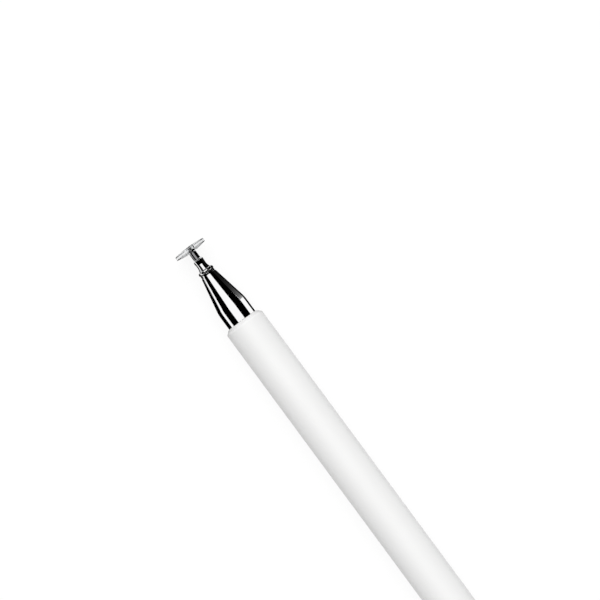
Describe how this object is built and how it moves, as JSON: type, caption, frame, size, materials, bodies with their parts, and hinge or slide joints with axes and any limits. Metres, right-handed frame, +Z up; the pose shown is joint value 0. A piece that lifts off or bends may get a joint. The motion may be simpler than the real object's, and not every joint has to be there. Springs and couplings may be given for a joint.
{
  "type": "disc-tip stylus pen",
  "caption": "Round white stylus pen with a chrome nose, a screw-in nib and a clear disc that rocks on a ball; its push-on cap is posted on the tail.",
  "frame": {"origin": "on the floor under the middle of the pen's whole length, with the cap posted on the tail", "axes": "+X along the pen's axis towards the tip, +Z up from the floor that it lies on"},
  "size_m": [0.1562, 0.0086, 0.0086],
  "materials": {
    "white_paint": "satin",
    "bright_chrome": "polished",
    "polished_steel": "polished",
    "clear_plastic": "gloss",
    "spring_bronze": "satin",
    "natural_nylon": "satin",
    "black_nylon": "satin"
  },
  "bodies": {
    "pen": {"barrel": "white_paint", "nose_cone": "bright_chrome", "nose_bush": "bright_chrome", "tail_plug": "bright_chrome"},
    "washer": {"nib_washer": "black_nylon"},
    "nib": {"nib_body": "bright_chrome", "ball_stem": "polished_steel"},
    "seat": {"contact_seat": "spring_bronze"},
    "disc": {"contact_disc": "clear_plastic", "disc_hub": "clear_plastic"},
    "cap": {"cap_sleeve": "white_paint", "cap_liner": "natural_nylon", "cap_crown": "bright_chrome"}
  },
  "joints": [
    {"name": "cap_pull", "type": "slide", "parent": "pen", "child": "cap", "axis": [-1, 0, 0], "range_m": [0, 0.008]},
    {"name": "nib_advance", "type": "slide", "parent": "pen", "child": "washer", "axis": [1, 0, 0], "range_m": [0, 0.00473]},
    {"name": "nib_turn", "type": "hinge", "parent": "washer", "child": "nib", "pos_m": [0.07186, 0, 0.0043], "axis": [1, 0, 0], "range_deg": [0, 4860]},
    {"name": "disc_rock_pitch", "type": "hinge", "parent": "nib", "child": "seat", "pos_m": [0.07745, 0, 0.0043], "axis": [0, 1, 0], "range_deg": [-20, 20]},
    {"name": "disc_rock_yaw", "type": "hinge", "parent": "seat", "child": "disc", "pos_m": [0.07745, 0, 0.0043], "axis": [0, 0, 1], "range_deg": [-20, 20]}
  ],
  "couplings": [
    {"joint": "nib_turn", "follows": "nib_advance", "rad_per_m": 17952}
  ]
}
